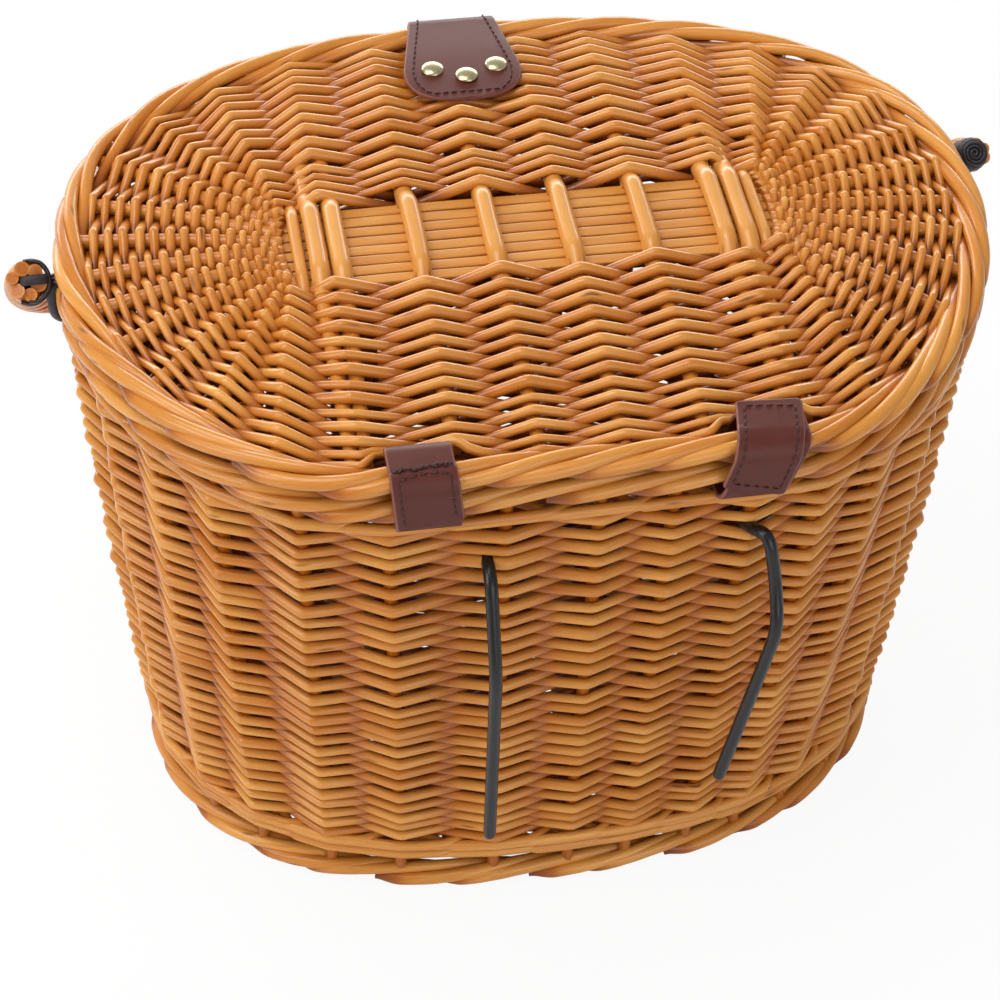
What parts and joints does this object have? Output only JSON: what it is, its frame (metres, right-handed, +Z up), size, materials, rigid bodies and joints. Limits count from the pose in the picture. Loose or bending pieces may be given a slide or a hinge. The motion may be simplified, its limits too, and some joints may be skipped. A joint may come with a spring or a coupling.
{
  "type": "lidded handlebar basket",
  "caption": "Oval lidded willow basket with a swinging carry handle, leather hinges and closure flap, and two coated hooks that hang it on a bicycle handlebar.",
  "frame": {"origin": "on the floor, under the middle of the whole part's bounding box", "axes": "+Z up, +Y to the closure side away from the rider, +X to the rider's right; hooks and hinges on -Y"},
  "size_m": [0.4574, 0.3418, 0.293],
  "materials": {
    "willow": "honey brown varnished willow rods, satin to gloss",
    "peeled_willow": "peeled and varnished willow sticks, laths and twisted handle rods",
    "leather": "reddish brown leather, stitched edges, satin",
    "brass": "polished brass plate",
    "coated_steel": "black plastic coating on bent steel rod, satin",
    "cord": "dark grey brown waxed cord"
  },
  "bodies": {
    "basket": {"side_wall": "willow", "rim_border": "willow", "foot_border": "willow", "base_panel": "willow", "base_stick_1": "peeled_willow", "base_stick_2": "peeled_willow", "base_stick_3": "peeled_willow", "base_stick_4": "peeled_willow", "base_stick_5": "peeled_willow", "base_stick_6": "peeled_willow", "hook_bracket": "coated_steel", "handle_tie_left": "cord", "handle_tie_right": "cord", "hinge_strap_left": "leather", "hinge_strap_right": "leather", "lock_backing": "leather", "lock_plate": "brass", "lock_rivet_1": "brass", "lock_rivet_2": "brass"},
    "lid": {"lid_border": "willow", "lid_weave": "willow", "lid_lath_1": "peeled_willow", "lid_lath_2": "peeled_willow", "lid_lath_3": "peeled_willow", "lid_lath_4": "peeled_willow", "lid_lath_5": "peeled_willow", "lid_lath_6": "peeled_willow", "lid_lath_7": "peeled_willow", "lid_lath_8": "peeled_willow", "lid_stick_1": "peeled_willow", "lid_stick_2": "peeled_willow", "lid_stick_3": "peeled_willow", "lid_stick_4": "peeled_willow", "lid_stick_5": "peeled_willow", "lid_stick_6": "peeled_willow", "lid_stick_7": "peeled_willow", "lid_stick_8": "peeled_willow", "lid_stick_9": "peeled_willow", "lid_stick_10": "peeled_willow", "closure_flap": "leather", "flap_rivet_1": "brass", "flap_rivet_2": "brass", "flap_rivet_3": "brass"},
    "tongue": {"closure_tongue": "leather", "tongue_plate": "brass", "tongue_rivet_1": "brass", "tongue_rivet_2": "brass"},
    "button": {"turn_button": "brass"},
    "handle": {"carry_handle": "peeled_willow"}
  },
  "joints": [
    {"name": "lid_hinge", "type": "hinge", "parent": "basket", "child": "lid", "pos_m": [0.00118, -0.1383, 0.28], "axis": [1, 0, 0], "range_deg": [0, 105]},
    {"name": "handle_swing", "type": "hinge", "parent": "basket", "child": "handle", "pos_m": [0, 0.0282, 0.2665], "axis": [0.9975, 0.071, 0], "range_deg": [0, 195]},
    {"name": "tongue_fold", "type": "hinge", "parent": "lid", "child": "tongue", "pos_m": [-0.00932, 0.1496, 0.2726], "axis": [1, 0, 0], "range_deg": [-14, 75], "stiffness_Nm_per_rad": 0.02},
    {"name": "button_turn", "type": "hinge", "parent": "basket", "child": "button", "pos_m": [-0.00932, 0.14856, 0.23522], "axis": [0, 0.9976, -0.0688], "range_deg": [0, 90]}
  ]
}
